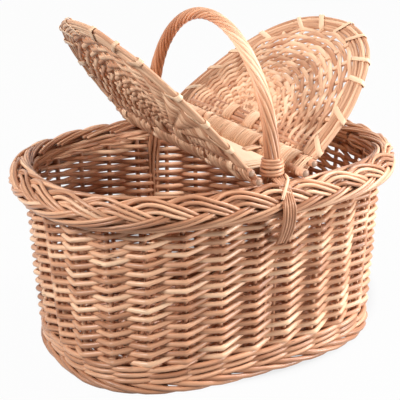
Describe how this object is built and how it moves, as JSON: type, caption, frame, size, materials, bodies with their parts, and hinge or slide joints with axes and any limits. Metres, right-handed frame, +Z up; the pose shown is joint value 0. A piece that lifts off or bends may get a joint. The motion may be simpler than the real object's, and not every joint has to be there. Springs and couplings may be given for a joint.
{
  "type": "picnic basket",
  "caption": "Oval woven willow picnic basket with a plaited border, a fixed roped handle across the middle and lids that hinge on the bar between the handle's feet.",
  "frame": {"origin": "on the floor under the middle of the basket", "axes": "+X along the basket, -Y towards the front, +Z up"},
  "size_m": [0.442, 0.3296, 0.3756],
  "materials": {
    "willow_body": "satin varnished buff willow",
    "willow_stake": "satin brown willow rod",
    "willow_handle": "satin varnished buff willow",
    "willow_lid": "satin pale willow",
    "willow_skein": "smooth split willow skein"
  },
  "bodies": {
    "basket": {"base_panel": "willow_stake", "foot_border": "willow_body", "upsett_wale": "willow_body", "side_weave": "willow_body", "top_wale": "willow_body", "rim_border": "willow_body", "stake_01": "willow_stake", "stake_02": "willow_stake", "stake_03": "willow_stake", "stake_04": "willow_stake", "stake_05": "willow_stake", "stake_06": "willow_stake", "stake_07": "willow_stake", "stake_08": "willow_stake", "stake_09": "willow_stake", "stake_10": "willow_stake", "stake_11": "willow_stake", "stake_12": "willow_stake", "stake_13": "willow_stake", "stake_14": "willow_stake", "stake_15": "willow_stake", "stake_16": "willow_stake", "stake_17": "willow_stake", "stake_18": "willow_stake", "stake_19": "willow_stake", "stake_20": "willow_stake", "stake_21": "willow_stake", "stake_22": "willow_stake", "stake_23": "willow_stake", "stake_24": "willow_stake", "stake_25": "willow_stake", "stake_26": "willow_stake", "stake_27": "willow_stake", "stake_28": "willow_stake", "handle_bow": "willow_handle", "handle_binding_front": "willow_handle", "handle_binding_back": "willow_handle", "handle_tail_front": "willow_handle", "handle_tail_back": "willow_handle", "cross_bar": "willow_stake", "cross_bar_wrap_front": "willow_skein", "cross_bar_wrap_back": "willow_skein", "lid_left_loop_front": "willow_skein", "lid_left_loop_back": "willow_skein", "lid_right_loop_front": "willow_skein", "lid_right_loop_back": "willow_skein"},
    "left_lid": {"lid_left_hinge_stick": "willow_stake", "lid_left_edge_stick": "willow_stake", "lid_left_rim": "willow_lid", "lid_left_weave": "willow_lid"},
    "right_lid": {"lid_right_hinge_stick": "willow_stake", "lid_right_edge_stick": "willow_stake", "lid_right_rim": "willow_lid", "lid_right_weave": "willow_lid"}
  },
  "joints": [
    {"name": "left_lid_hinge", "type": "hinge", "parent": "basket", "child": "left_lid", "pos_m": [-0.028, 0, 0.227], "axis": [0, 1, 0], "range_deg": [-50, 43]},
    {"name": "right_lid_hinge", "type": "hinge", "parent": "basket", "child": "right_lid", "pos_m": [0.028, 0, 0.227], "axis": [0, -1, 0], "range_deg": [-40, 53]}
  ]
}
